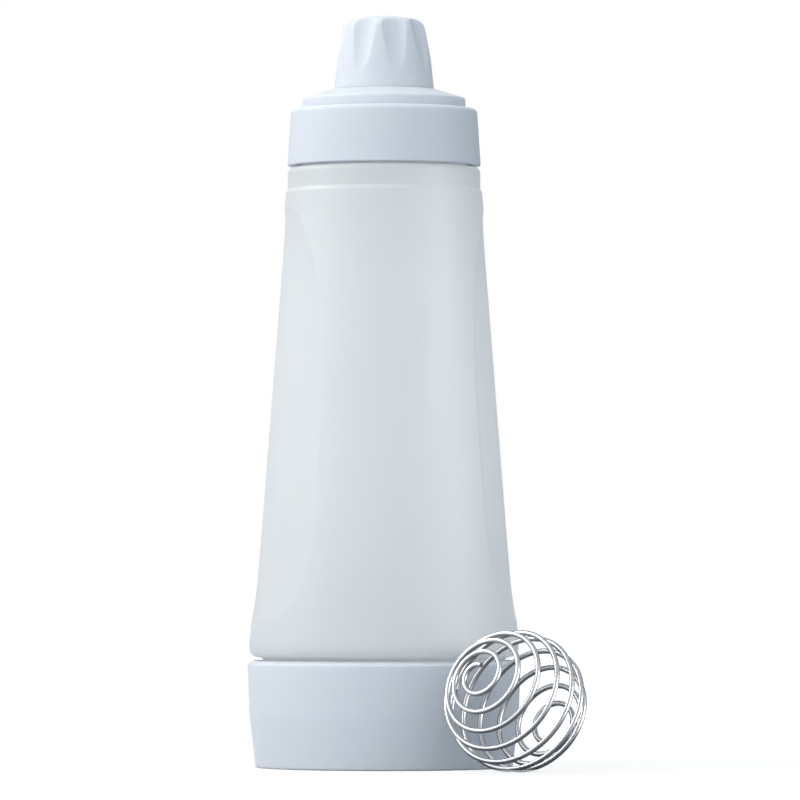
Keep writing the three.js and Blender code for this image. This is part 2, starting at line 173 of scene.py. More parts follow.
# Polypropylene from a spark-eroded mould: an even satin blue, with a soft haze and very fine grain
def moulded_polypropylene(name, code, deep):
    material, tree = new_material(name)
    place = add(tree, "ShaderNodeTexCoord").outputs["Object"]
    cloud = add(tree, "ShaderNodeTexNoise", {"Vector": place, "Scale": 1 / 0.035, "Detail": 2})
    tint = add(tree, "ShaderNodeMix", {0: cloud, 6: linear(deep), 7: linear(code)}, data_type="RGBA")
    grain = add(tree, "ShaderNodeTexNoise", {"Vector": place, "Scale": 1 / 0.0006, "Detail": 3})
    rough = add(tree, "ShaderNodeMapRange", {0: grain, 1: 0.3, 2: 0.7, 3: 0.5, 4: 0.6})
    bump = add(tree, "ShaderNodeBump", {"Height": grain, "Strength": 0.05, "Distance": 0.0002})
    shader = add(tree, "ShaderNodeBsdfPrincipled", {
        "Base Color": tint.outputs[2],
        "Roughness": rough,
        "Normal": bump,
        "IOR": 1.49,
        "Specular IOR Level": 0.15,
        "Subsurface Weight": 0.5,
        "Subsurface Radius": (1.0, 1.1, 1.25),
        "Subsurface Scale": 0.003,
    })
    add(tree, "ShaderNodeOutputMaterial", {"Surface": shader})
    return material


# Frosted low-density polyethylene, blown thin: milky, and light from behind fills it evenly
def frosted_polyethylene(name):
    material, tree = new_material(name)
    place = add(tree, "ShaderNodeTexCoord").outputs["Object"]
    cloud = add(tree, "ShaderNodeTexNoise", {"Vector": place, "Scale": 1 / 0.05, "Detail": 3})
    tint = add(tree, "ShaderNodeMix", {0: cloud, 6: linear("#f0f3f5"), 7: linear("#f5f7f8")},
               data_type="RGBA")
    frost = add(tree, "ShaderNodeTexNoise", {"Vector": place, "Scale": 1 / 0.0008, "Detail": 4})
    rough = add(tree, "ShaderNodeMapRange", {0: frost, 1: 0.3, 2: 0.7, 3: 0.48, 4: 0.6})
    bump = add(tree, "ShaderNodeBump", {"Height": frost, "Strength": 0.08, "Distance": 0.0002})
    shader = add(tree, "ShaderNodeBsdfPrincipled", {
        "Base Color": tint.outputs[2],
        "Roughness": rough,
        "Normal": bump,
        "IOR": 1.5,
        "Specular IOR Level": 1.0,
        "Subsurface Weight": 1.0,
        "Subsurface Radius": (1.0, 1.05, 1.1),
        "Subsurface Scale": 0.0015,
        "Transmission Weight": 0.3,
    })
    glowing = add(tree, "ShaderNodeBsdfTranslucent", {"Color": tint.outputs[2], "Normal": bump})
    wall = add(tree, "ShaderNodeMixShader", {0: 0.5, 1: shader, 2: glowing})
    add(tree, "ShaderNodeOutputMaterial", {"Surface": wall})
    return material


# Moulded silicone rubber: milky white, quite matt, with a faint dusting
def moulded_silicone(name):
    material, tree = new_material(name)
    place = add(tree, "ShaderNodeTexCoord").outputs["Object"]
    dust = add(tree, "ShaderNodeTexNoise", {"Vector": place, "Scale": 1 / 0.002, "Detail": 4})
    tint = add(tree, "ShaderNodeMix", {0: dust, 6: linear("#e2e7ea"), 7: linear("#eef1f3")},
               data_type="RGBA")
    rough = add(tree, "ShaderNodeMapRange", {0: dust, 1: 0.3, 2: 0.7, 3: 0.58, 4: 0.72})
    shader = add(tree, "ShaderNodeBsdfPrincipled", {
        "Base Color": tint.outputs[2],
        "Roughness": rough,
        "IOR": 1.41,
        "Subsurface Weight": 0.4,
        "Subsurface Scale": 0.003,
    })
    add(tree, "ShaderNodeOutputMaterial", {"Surface": shader})
    return material


# Drawn and polished stainless wire: bright, with faint lines that run along the wire
def polished_steel_wire(name):
    material, tree = new_material(name)
    place = add(tree, "ShaderNodeAttribute", attribute_name="wire_place").outputs["Vector"]
    # real draw lines are hundredths of a millimetre apart: these are coarser, to show at all
    stretch = add(tree, "ShaderNodeMapping",
                  {"Vector": place, "Scale": (1 / 0.0002, 1 / 0.0002, 1 / 0.02)})
    lines = add(tree, "ShaderNodeTexNoise", {"Vector": stretch, "Scale": 1.0, "Detail": 2})
    tint = add(tree, "ShaderNodeMix", {0: lines, 6: linear("#a1a5a9"), 7: linear("#b1b5b9")},
               data_type="RGBA")
    rough = add(tree, "ShaderNodeMapRange", {0: lines, 1: 0.3, 2: 0.7, 3: 0.28, 4: 0.4})
    shader = add(tree, "ShaderNodeBsdfPrincipled", {
        "Base Color": tint.outputs[2],
        "Roughness": rough,
        "Metallic": 1.0,
    })
    add(tree, "ShaderNodeOutputMaterial", {"Surface": shader})
    return material


BLUE = moulded_polypropylene("moulded_polypropylene_blue", "#d5dae0", "#d0d6dd")
FROSTED = frosted_polyethylene("frosted_polyethylene")
SILICONE = moulded_silicone("moulded_silicone")
STEEL = polished_steel_wire("polished_stainless_wire")


def outline(corners, steps=8):
    """Points from corners (radius, height, fillet); a fillet keeps within its two edges."""
    points = []
    for i, corner in enumerate(corners):
        here = Vector(corner[:2])
        if len(corner) == 2:
            points.append(here)
            continue
        sides = [corners[i - 1], corners[(i + 1) % len(corners)]]
        arms = [Vector(s[:2]) - here for s in sides]
        half = arms[0].angle(arms[1]) / 2
        room = [arm.length * (0.49 if len(s) == 3 else 0.98) for arm, s in zip(arms, sides)]
        cut = min(corner[2] / math.tan(half), *room)
        start, end = [here + arm.normalized() * cut for arm in arms]
        for k in range(steps + 1):
            t = k / steps
            points.append(start * (1 - t) ** 2 + here * 2 * t * (1 - t) + end * t ** 2)
    return points


def fine(points, step):
    """The same outline with its long stretches cut up; step(height) is the length of a cut there."""
    closed = points[0].x > 0
    result = []
    for a, b in zip(points, points[1:] + (points[:1] if closed else [])):
        result.append(a)
        while (b - result[-1]).length > 1.5 * step(result[-1].y):
            result.append(result[-1] + (b - a).normalized() * step(result[-1].y))
    return result if closed else result + points[-1:]


def evenly(count):
    """Angles of a whole turn, all the same distance apart."""
    return [2 * math.pi * i / count for i in range(count)]


def turned(name, points, material, angles=evenly(192)):
    """A piece turned about Z; the outline's outer side runs upwards."""
    around = len(angles)
    vertices, rings = [], []
    for radius, height in points:
        count = around if radius > 1e-6 else 1
        rings.append([len(vertices) + i for i in range(count)])
        for angle in angles[:count]:
            x, y = radius * math.cos(angle), radius * math.sin(angle)
            vertices.append((x * MM, y * MM, height * MM))
    pairs = list(zip(rings, rings[1:]))
    if len(rings[0]) > 1:
        pairs.append((rings[-1], rings[0]))
    faces = []
    for low, high in pairs:
        for i in range(around):
            j = (i + 1) % around
            face = [low[i % len(low)], low[j % len(low)], high[j % len(high)], high[i % len(high)]]
            faces.append(list(dict.fromkeys(face)))
    mesh = bpy.data.meshes.new(name)
    mesh.from_pydata(vertices, [], [f for f in faces if len(f) > 2])
    mesh.materials.append(material)
    mesh.shade_smooth()
    mesh.set_sharp_from_angle(angle=math.radians(38))
    piece = bpy.data.objects.new(name, mesh)
    bpy.context.collection.objects.link(piece)
    return piece


def ring(name, inner, outer, bottom, top, material, edge=0.25):
    """A flat ring with softened edges."""
    corners = [(inner, bottom, edge), (outer, bottom, edge), (outer, top, edge), (inner, top, edge)]
    return turned(name, outline(corners, 4), material)


def new_tree(name, **sizes):
    """A geometry tree with a mesh input, a material and one named input for each size."""
    tree = bpy.data.node_groups.new(name, "GeometryNodeTree")
    tree.interface.new_socket("Geometry", in_out="INPUT", socket_type="NodeSocketGeometry")
    tree.interface.new_socket("Geometry", in_out="OUTPUT", socket_type="NodeSocketGeometry")
    tree.interface.new_socket("Material", in_out="INPUT", socket_type="NodeSocketMaterial")
    for size, kind in sizes.items():
        tree.interface.new_socket(size, in_out="INPUT", socket_type=kind)
    return tree, tree.nodes.new("NodeGroupInput").outputs


def close_tree(tree, shape, material):
    """Ends a geometry tree with real faces and their material."""
    real = add(tree, "GeometryNodeRealizeInstances", {0: shape})
    painted = add(tree, "GeometryNodeSetMaterial", {"Geometry": real, "Material": material})
    add(tree, "NodeGroupOutput", {0: painted})


def shaped(piece, tree, **sizes):
    """Runs a geometry tree on a piece and keeps the result as its plain mesh."""
    modifier = piece.modifiers.new(tree.name, "NODES")
    modifier.node_group = tree
    for item in tree.interface.items_tree:
        if item.in_out == "INPUT" and item.name in sizes:
            modifier[item.identifier] = sizes[item.name]
    graph = bpy.context.evaluated_depsgraph_get()
    mesh = bpy.data.meshes.new_from_object(piece.evaluated_get(graph), depsgraph=graph)
    piece.modifiers.clear()
    piece.data = mesh


FLOAT, WHOLE = "NodeSocketFloat", "NodeSocketInt"


def thread_tree():
    """Thread ridges: a rounded bar along a helix on a wall, thin at its ends, once for each start."""
    tree, size = new_tree(
        "thread_ridges", Wall=FLOAT, Tip=FLOAT, Starts=WHOLE, Lead=FLOAT, From=FLOAT, Span=FLOAT,
        Foot=FLOAT, Bite=FLOAT, Steps=WHOLE)
    line = add(tree, "GeometryNodeCurvePrimitiveLine")
    path = add(tree, "GeometryNodeResampleCurve", {"Curve": line, "Count": size["Steps"]})
    share = add(tree, "GeometryNodeSplineParameter").outputs["Factor"]
    climb = add(tree, "ShaderNodeMath", {0: share, 1: size["Span"]}, operation="MULTIPLY")
    turns = add(tree, "ShaderNodeMath", {0: climb, 1: size["Lead"]}, operation="DIVIDE")
    angle = add(tree, "ShaderNodeMath", {0: turns, 1: 2 * math.pi}, operation="MULTIPLY")
    cosine = add(tree, "ShaderNodeMath", {0: angle}, operation="COSINE")
    sine = add(tree, "ShaderNodeMath", {0: angle}, operation="SINE")
    height = add(tree, "ShaderNodeMath", {0: climb, 1: size["From"]}, operation="ADD")
    flat = add(tree, "ShaderNodeCombineXYZ", {0: cosine, 1: sine})
    out = add(tree, "ShaderNodeVectorMath", {0: flat, "Scale": size["Wall"]}, operation="SCALE")
    up = add(tree, "ShaderNodeCombineXYZ", {2: height})
    place = add(tree, "ShaderNodeVectorMath", {0: out, 1: up}, operation="ADD")
    helix = add(tree, "GeometryNodeSetPosition", {"Geometry": path, "Position": place})
    upright = add(tree, "GeometryNodeSetCurveNormal", {"Curve": helix}, mode="Z_UP")
    left = add(tree, "ShaderNodeMath", {0: 1.0, 1: share}, operation="SUBTRACT")
    to_end = add(tree, "ShaderNodeMath", {0: share, 1: left}, operation="MINIMUM")
    thin = add(tree, "ShaderNodeMapRange", {0: to_end, 1: 0.0, 2: 0.14, 3: 0.1, 4: 1.0},
               interpolation_type="SMOOTHSTEP")
    # the bar's section: a rounded hill on the wall, with a shallow foot sunk into it
    oval = add(tree, "GeometryNodeCurvePrimitiveCircle", {"Resolution": 20, "Radius": 1.0})
    spot = add(tree, "ShaderNodeSeparateXYZ", {0: add(tree, "GeometryNodeInputPosition")})
    reach = add(tree, "ShaderNodeMath", {0: size["Tip"], 1: size["Wall"]}, operation="SUBTRACT")
    toward = add(tree, "ShaderNodeMath", {0: reach}, operation="SIGN")
    swell = add(tree, "ShaderNodeMath", {0: spot.outputs[0], 1: 0.0}, operation="MAXIMUM")
    blunt = add(tree, "ShaderNodeMath", {0: swell, 1: 0.7}, operation="POWER")
    rise = add(tree, "ShaderNodeMath", {0: blunt, 1: reach}, operation="MULTIPLY")
    sunk = add(tree, "ShaderNodeMath", {0: spot.outputs[0], 1: 0.0}, operation="MINIMUM")
    bite = add(tree, "ShaderNodeMath", {0: size["Bite"], 1: toward}, operation="MULTIPLY")
    depth = add(tree, "ShaderNodeMath", {0: sunk, 1: bite, 2: rise}, operation="MULTIPLY_ADD")
    half = add(tree, "ShaderNodeMath", {0: size["Foot"], 1: 0.5}, operation="MULTIPLY")
    width = add(tree, "ShaderNodeMath", {0: spot.outputs[1], 1: half}, operation="MULTIPLY")
    hill = add(tree, "ShaderNodeCombineXYZ", {0: depth, 1: width})
    section = add(tree, "GeometryNodeSetPosition", {"Geometry": oval, "Position": hill})
    bar = add(tree, "GeometryNodeCurveToMesh",
              {"Curve": upright, "Profile Curve": section, "Scale": thin, "Fill Caps": True})
    smooth = add(tree, "GeometryNodeSetShadeSmooth", {"Geometry": bar})
    inward = add(tree, "ShaderNodeMath", {0: reach, 1: 0.0}, operation="LESS_THAN")
    faced = add(tree, "GeometryNodeFlipFaces", {"Mesh": smooth, "Selection": inward})
    starts = add(tree, "GeometryNodePoints", {"Count": size["Starts"]})
    index = add(tree, "GeometryNodeInputIndex")
    part = add(tree, "ShaderNodeMath", {0: index, 1: size["Starts"]}, operation="DIVIDE")
    turn = add(tree, "ShaderNodeMath", {0: part, 1: 2 * math.pi}, operation="MULTIPLY")
    spin = add(tree, "ShaderNodeCombineXYZ", {2: turn})
    copies = add(tree, "GeometryNodeInstanceOnPoints",
                 {"Points": starts, "Instance": faced, "Rotation": spin})
    joined = add(tree, "GeometryNodeJoinGeometry", {0: size["Geometry"]})
    tree.links.new(copies.outputs[0], joined.inputs[0])
    close_tree(tree, joined, size["Material"])
    return tree


def grip_tree():
    """Two upright oval grips pressed into the bottle, rounder and shallower above than below."""
    tree, size = new_tree(
        "grip_recesses", Depth=FLOAT, Lip=FLOAT, Fade=FLOAT, Turn=FLOAT, HalfAngle=FLOAT, Middle=FLOAT,
        HalfLength=FLOAT, CreaseLow=FLOAT, CreaseHigh=FLOAT, LipLow=FLOAT, LipHigh=FLOAT)
    square_below, round_above = 4.5, 2.6
    spot = add(tree, "ShaderNodeSeparateXYZ", {0: add(tree, "GeometryNodeInputPosition")})
    angle = add(tree, "ShaderNodeMath", {0: spot.outputs[1], 1: spot.outputs[0]}, operation="ARCTAN2")
    off = add(tree, "ShaderNodeMath", {0: angle, 1: size["Turn"]}, operation="SUBTRACT")
    folded = add(tree, "ShaderNodeMath", {0: off, 1: math.pi / 2, 2: -math.pi / 2}, operation="WRAP")
    away = add(tree, "ShaderNodeMath", {0: folded}, operation="ABSOLUTE")
    across = add(tree, "ShaderNodeMath", {0: away, 1: size["HalfAngle"]}, operation="DIVIDE")
    rise = add(tree, "ShaderNodeMath", {0: spot.outputs[2], 1: size["Middle"]}, operation="SUBTRACT")
    part = add(tree, "ShaderNodeMath", {0: rise, 1: size["HalfLength"]}, operation="DIVIDE")
    along = add(tree, "ShaderNodeMath", {0: part}, operation="ABSOLUTE")
    above = add(tree, "ShaderNodeMath", {0: rise, 1: 0.0}, operation="GREATER_THAN")
    power = add(tree, "ShaderNodeMath", {0: above, 1: round_above - square_below, 2: square_below},
                operation="MULTIPLY_ADD")
    first = add(tree, "ShaderNodeMath", {0: across, 1: power}, operation="POWER")
    second = add(tree, "ShaderNodeMath", {0: along, 1: power}, operation="POWER")
    total = add(tree, "ShaderNodeMath", {0: first, 1: second}, operation="ADD")
    root = add(tree, "ShaderNodeMath", {0: 1.0, 1: power}, operation="DIVIDE")
    outward = add(tree, "ShaderNodeMath", {0: total, 1: root}, operation="POWER")
    # the floor is level in the middle and steepens until it meets the wall in a crease
    crease = add(tree, "ShaderNodeMapRange",
                 {0: part, 1: -1.0, 2: 1.0, 3: size["CreaseLow"], 4: size["CreaseHigh"]})
    within = add(tree, "ShaderNodeMath", {0: outward, 1: 1.0}, operation="MINIMUM")
    lifted = add(tree, "ShaderNodeMath", {0: within, 1: crease}, operation="POWER")
    sunk = add(tree, "ShaderNodeMath", {0: 1.0, 1: lifted}, operation="SUBTRACT")
    share = add(tree, "ShaderNodeMapRange", {0: part, 1: -1.0, 2: 1.0, 3: 1.0, 4: size["Fade"]})
    full = add(tree, "ShaderNodeMath", {0: share, 1: size["Depth"]}, operation="MULTIPLY")
    floor = add(tree, "ShaderNodeMath", {0: sunk, 1: full}, operation="MULTIPLY")
    # a narrow lip drops from the wall to the floor all round, sharper above than below
    brink = add(tree, "ShaderNodeMapRange",
                {0: part, 1: -1.0, 2: 0.0, 3: size["LipLow"], 4: size["LipHigh"]})
    rim = add(tree, "ShaderNodeMath", {0: within, 1: brink}, operation="POWER")
    below = add(tree, "ShaderNodeMath", {0: 1.0, 1: rim}, operation="SUBTRACT")
    depth = add(tree, "ShaderNodeMath", {0: below, 1: size["Lip"], 2: floor}, operation="MULTIPLY_ADD")
    flat = add(tree, "ShaderNodeCombineXYZ", {0: spot.outputs[0], 1: spot.outputs[1]})
    way = add(tree, "ShaderNodeVectorMath", {0: flat}, operation="NORMALIZE")
    inward = add(tree, "ShaderNodeMath", {0: depth, 1: -1.0}, operation="MULTIPLY")
    shift = add(tree, "ShaderNodeVectorMath", {0: way, "Scale": inward}, operation="SCALE")
    pressed = add(tree, "GeometryNodeSetPosition", {"Geometry": size["Geometry"], "Offset": shift})
    close_tree(tree, pressed, size["Material"])
    return tree


def flute_tree():
    """Finger flutes round the cap: each is the side of a leaning cylinder, with softened edges."""
    tree, size = new_tree(
        "cap_flutes", Count=WHOLE, Turn=FLOAT, Radius=FLOAT, Lean=FLOAT, Waist=FLOAT, Foot=FLOAT,
        Soft=FLOAT)
    spot = add(tree, "ShaderNodeSeparateXYZ", {0: add(tree, "GeometryNodeInputPosition")})
    flat = add(tree, "ShaderNodeCombineXYZ", {0: spot.outputs[0], 1: spot.outputs[1]})
    body = add(tree, "ShaderNodeVectorMath", {0: flat}, operation="LENGTH").outputs["Value"]
    angle = add(tree, "ShaderNodeMath", {0: spot.outputs[1], 1: spot.outputs[0]}, operation="ARCTAN2")
    off = add(tree, "ShaderNodeMath", {0: angle, 1: size["Turn"]}, operation="SUBTRACT")
    pitch = add(tree, "ShaderNodeMath", {0: math.pi, 1: size["Count"]}, operation="DIVIDE")
    back = add(tree, "ShaderNodeMath", {0: pitch, 1: -1.0}, operation="MULTIPLY")
    folded = add(tree, "ShaderNodeMath", {0: off, 1: pitch, 2: back}, operation="WRAP")
    c = add(tree, "ShaderNodeMath", {0: folded}, operation="COSINE")
    s = add(tree, "ShaderNodeMath", {0: folded}, operation="SINE")
    lean_cos = add(tree, "ShaderNodeMath", {0: size["Lean"]}, operation="COSINE")
    k = add(tree, "ShaderNodeMath", {0: lean_cos, 1: lean_cos}, operation="MULTIPLY")
    wide = add(tree, "ShaderNodeMath", {0: size["Radius"], 1: lean_cos}, operation="DIVIDE")
    slope = add(tree, "ShaderNodeMath", {0: size["Lean"]}, operation="TANGENT")
    over = add(tree, "ShaderNodeMath", {0: spot.outputs[2], 1: size["Foot"]}, operation="SUBTRACT")
    drawn = add(tree, "ShaderNodeMath", {0: over, 1: slope}, operation="MULTIPLY")
    axis_low = add(tree, "ShaderNodeMath", {0: size["Waist"], 1: wide}, operation="ADD")
    axis = add(tree, "ShaderNodeMath", {0: axis_low, 1: drawn}, operation="SUBTRACT")
    # the cylinder's near side along a ray from the cap's axis: the smaller root of a r^2 - 2 b r + d = 0
    cc = add(tree, "ShaderNodeMath", {0: c, 1: c}, operation="MULTIPLY")
    ss = add(tree, "ShaderNodeMath", {0: s, 1: s}, operation="MULTIPLY")
    a = add(tree, "ShaderNodeMath", {0: k, 1: cc, 2: ss}, operation="MULTIPLY_ADD")
    k_axis = add(tree, "ShaderNodeMath", {0: k, 1: axis}, operation="MULTIPLY")
    b = add(tree, "ShaderNodeMath", {0: k_axis, 1: c}, operation="MULTIPLY")
    rr = add(tree, "ShaderNodeMath", {0: size["Radius"], 1: size["Radius"]}, operation="MULTIPLY")
    k_axis2 = add(tree, "ShaderNodeMath", {0: k_axis, 1: axis}, operation="MULTIPLY")
    d = add(tree, "ShaderNodeMath", {0: k_axis2, 1: rr}, operation="SUBTRACT")
    bb = add(tree, "ShaderNodeMath", {0: b, 1: b}, operation="MULTIPLY")
    ad = add(tree, "ShaderNodeMath", {0: a, 1: d}, operation="MULTIPLY")
    inside = add(tree, "ShaderNodeMath", {0: bb, 1: ad}, operation="SUBTRACT")
    hit = add(tree, "ShaderNodeMath", {0: inside, 1: 0.0}, operation="GREATER_THAN")
    held = add(tree, "ShaderNodeMath", {0: inside, 1: 0.0}, operation="MAXIMUM")
    square = add(tree, "ShaderNodeMath", {0: held}, operation="SQRT")
    near = add(tree, "ShaderNodeMath", {0: b, 1: square}, operation="SUBTRACT")
    cut = add(tree, "ShaderNodeMath", {0: near, 1: a}, operation="DIVIDE")
    miss = add(tree, "ShaderNodeMath", {0: 1.0, 1: hit}, operation="SUBTRACT")
    face = add(tree, "ShaderNodeMath", {0: cut, 1: miss}, operation="ADD")
    radius = add(tree, "ShaderNodeMath", {0: body, 1: face, 2: size["Soft"]}, operation="SMOOTH_MIN")
    change = add(tree, "ShaderNodeMath", {0: radius, 1: body}, operation="SUBTRACT")
    way = add(tree, "ShaderNodeVectorMath", {0: flat}, operation="NORMALIZE")
    shift = add(tree, "ShaderNodeVectorMath", {0: way, "Scale": change}, operation="SCALE")
    cut_cap = add(tree, "GeometryNodeSetPosition", {"Geometry": size["Geometry"], "Offset": shift})
    close_tree(tree, cut_cap, size["Material"])
    return tree


def wire_tree():
    """One wire wound over a ball from pole to pole, its turns drawn together at the ends."""
    tree, size = new_tree(
        "ball_wire", Radius=FLOAT, Wire=FLOAT, Turns=FLOAT, From=FLOAT, To=FLOAT, Ease=FLOAT,
        Phase=FLOAT, Steps=WHOLE)
    line = add(tree, "GeometryNodeCurvePrimitiveLine")
    path = add(tree, "GeometryNodeResampleCurve", {"Curve": line, "Count": size["Steps"]})
    share = add(tree, "GeometryNodeSplineParameter").outputs["Factor"]
    centred = add(tree, "ShaderNodeMath", {0: share, 1: 2.0, 2: -1.0}, operation="MULTIPLY_ADD")
    eased = add(tree, "ShaderNodeMath", {0: centred, 1: size["Ease"]}, operation="MULTIPLY")
    wave = add(tree, "ShaderNodeMath", {0: eased}, operation="SINE")
    full = add(tree, "ShaderNodeMath", {0: size["Ease"]}, operation="SINE")
    portion = add(tree, "ShaderNodeMath", {0: wave, 1: full}, operation="DIVIDE")
    polar = add(tree, "ShaderNodeMapRange",
                {0: portion, 1: -1.0, 2: 1.0, 3: size["From"], 4: size["To"]})
    wound = add(tree, "ShaderNodeMath", {0: share, 1: size["Turns"]}, operation="MULTIPLY")
    turn = add(tree, "ShaderNodeMath", {0: wound, 1: 2 * math.pi, 2: size["Phase"]},
               operation="MULTIPLY_ADD")
    across = add(tree, "ShaderNodeMath", {0: polar}, operation="SINE")
    cosine = add(tree, "ShaderNodeMath", {0: turn}, operation="COSINE")
    sine = add(tree, "ShaderNodeMath", {0: turn}, operation="SINE")
    x = add(tree, "ShaderNodeMath", {0: across, 1: cosine}, operation="MULTIPLY")
    y = add(tree, "ShaderNodeMath", {0: across, 1: sine}, operation="MULTIPLY")
    z = add(tree, "ShaderNodeMath", {0: polar}, operation="COSINE")
    unit = add(tree, "ShaderNodeCombineXYZ", {0: x, 1: y, 2: z})
    place = add(tree, "ShaderNodeVectorMath", {0: unit, "Scale": size["Radius"]}, operation="SCALE")
    spiral = add(tree, "GeometryNodeSetPosition", {"Geometry": path, "Position": place})
    length = add(tree, "GeometryNodeSplineParameter").outputs["Length"]
    half = add(tree, "ShaderNodeMath", {0: size["Wire"], 1: 0.5}, operation="MULTIPLY")
    section = add(tree, "GeometryNodeCurvePrimitiveCircle", {"Resolution": 14, "Radius": half})
    # where each point lies round and along the straight wire, for the draw lines
    run = add(tree, "GeometryNodeStoreNamedAttribute",
              {"Geometry": spiral, "Name": "wire_run", "Value": length},
              data_type="FLOAT", domain="POINT")
    rim = add(tree, "GeometryNodeStoreNamedAttribute",
              {"Geometry": section, "Name": "wire_rim", "Value": add(tree, "GeometryNodeInputPosition")},
              data_type="FLOAT_VECTOR", domain="POINT")
    tube = add(tree, "GeometryNodeCurveToMesh",
               {"Curve": run, "Profile Curve": rim, "Fill Caps": True})
    kept_run = add(tree, "GeometryNodeInputNamedAttribute", {"Name": "wire_run"}, data_type="FLOAT")
    kept_rim = add(tree, "GeometryNodeInputNamedAttribute", {"Name": "wire_rim"},
                   data_type="FLOAT_VECTOR")
    lengthwise = add(tree, "ShaderNodeCombineXYZ", {2: kept_run})
    laid = add(tree, "ShaderNodeVectorMath", {0: kept_rim, 1: lengthwise}, operation="ADD")
    marked = add(tree, "GeometryNodeStoreNamedAttribute",
                 {"Geometry": tube, "Name": "wire_place", "Value": laid},
                 data_type="FLOAT_VECTOR", domain="POINT")
    smooth = add(tree, "GeometryNodeSetShadeSmooth", {"Geometry": marked})
    close_tree(tree, smooth, size["Material"])
    return tree


THREADS, GRIPS, FLUTES, WIRE = thread_tree(), grip_tree(), flute_tree(), wire_tree()


def threaded(piece, wall, tip, starts, start):
    """Lays thread ridges on a piece's wall, in the piece's own material."""
    span = RIDGE_SPAN * RIDGE_OVERRUN
    shaped(piece, THREADS, Wall=wall * MM, Tip=tip * MM, Starts=starts, Lead=PITCH * starts * MM,
           From=start * MM, Span=span * MM, Foot=RIDGE_FOOT * MM, Bite=RIDGE_BITE * MM, Steps=64,
           Material=piece.data.materials[0])


# Base cap: threaded skirt and inner cup, joined by the shelf under the gasket
base_cap = turned("base_cap_dressed", outline([
    (0, 0),
    (CUP_INSIDE + BASE_WALL, 0, 1.2),
    (CUP_INSIDE + BASE_WALL, SHELF_HEIGHT - BASE_WALL, 0.6),
    (BASE_BORE - 0.5, SHELF_HEIGHT - BASE_WALL, 0.6),
    (BASE_FOOT - 1.8, 0, 0.3),
    (BASE_FOOT, 0, 3.0),
    (BASE_RIM - BASE_TAPER * 0.24, BASE_TOP * 0.5, 60),
    (BASE_RIM, BASE_TOP - 1.1, 0.5),
    (BASE_BORE + 0.4, BASE_TOP),
    (BASE_BORE, BASE_TOP - 0.5, 0.2),
    (BASE_BORE, SHELF_HEIGHT, 0.4),
    (CUP_INSIDE, SHELF_HEIGHT, 0.4),
    (CUP_INSIDE, BASE_WALL, 4.0),
    (0, BASE_WALL),
]), BLUE)
threaded(base_cap, BASE_BORE, BASE_BORE - LOWER_RIDGE + RIDGE_RELIEF, 3, LOWER_RIDGE_FROM + PITCH / 2)
base_gasket = ring("base_gasket_dressed", CUP_INSIDE + 0.6, BASE_BORE - SLIP_GAP,
                   SHELF_HEIGHT + SEAT_GAP, GASKET_TOP, SILICONE)


def bottle_step(height):
    """Short rings at the grips' two ends, where their edges cross from side to side."""
    near_end = abs(abs(height - GRIP_MIDDLE) - GRIP_LENGTH / 2 + 4) < 6
    return 0.5 if near_end else 2.4


def bottle_angles():
    """Angles of a whole turn, close together where the grips' long edges run."""
    angles, last = [], 0.0
    while last < 2 * math.pi - 0.01:
        off = abs((last - GRIP_TURN + math.pi / 2) % math.pi - math.pi / 2) / GRIP_HALF_ANGLE
        last += math.radians(0.6 if 0.5 < off < 1.05 else 2.4)
        angles.append(last)
    return [angle * 2 * math.pi / last for angle in angles]


# Bottle: one blown shell open at both ends, with its grips and both threads
bottle = turned("bottle_dressed", fine(outline([
    (LOWER_NECK - NECK_WALL, LOWER_RIM, 0.4),
    (LOWER_NECK, LOWER_RIM, 0.5),
    (LOWER_NECK, BODY_BOTTOM, 0.4),
    (BODY_FOOT - 0.2, BODY_BOTTOM + 0.9, 3.2),
    (BODY_FOOT, BODY_LOW),
    (BODY_SHOULDER, BODY_HIGH, 0.5),
    (BAND, BAND_BOTTOM, 0.4),
    (BAND, BODY_TOP, 2.2),
    (UPPER_NECK, BODY_TOP, 0.4),
    (UPPER_NECK, UPPER_RIM, 0.5),
    (UPPER_NECK - NECK_WALL, UPPER_RIM, 0.4),
    (UPPER_NECK - NECK_WALL, BODY_TOP - BODY_WALL, 0.4),
    (BAND - BODY_WALL, BODY_TOP - BODY_WALL, 1.0),
    (BAND - BODY_WALL, BAND_BOTTOM, 0.4),
    (BODY_SHOULDER - BODY_WALL, BODY_HIGH, 0.5),
    (BODY_FOOT - BODY_WALL, BODY_LOW),
    (BODY_FOOT - BODY_WALL - 0.2, BODY_BOTTOM + 0.9 + BODY_WALL, 1.2),
    (LOWER_NECK - NECK_WALL, BODY_BOTTOM + BODY_WALL, 0.4),
], 5), bottle_step), FROSTED, bottle_angles())
shaped(bottle, GRIPS, Depth=GRIP_FLOOR * MM, Lip=GRIP_LIP * MM, Fade=GRIP_FADE, Turn=GRIP_TURN,
       HalfAngle=GRIP_HALF_ANGLE, Middle=GRIP_MIDDLE * MM, HalfLength=GRIP_LENGTH / 2 * MM,
       CreaseLow=6.0, CreaseHigh=12.0, LipLow=13.0, LipHigh=26.0, Material=FROSTED)
threaded(bottle, LOWER_NECK, LOWER_NECK + LOWER_RIDGE, 3, LOWER_RIDGE_FROM)
threaded(bottle, UPPER_NECK, UPPER_NECK + UPPER_RIDGE, 3, UPPER_RIDGE_FROM)

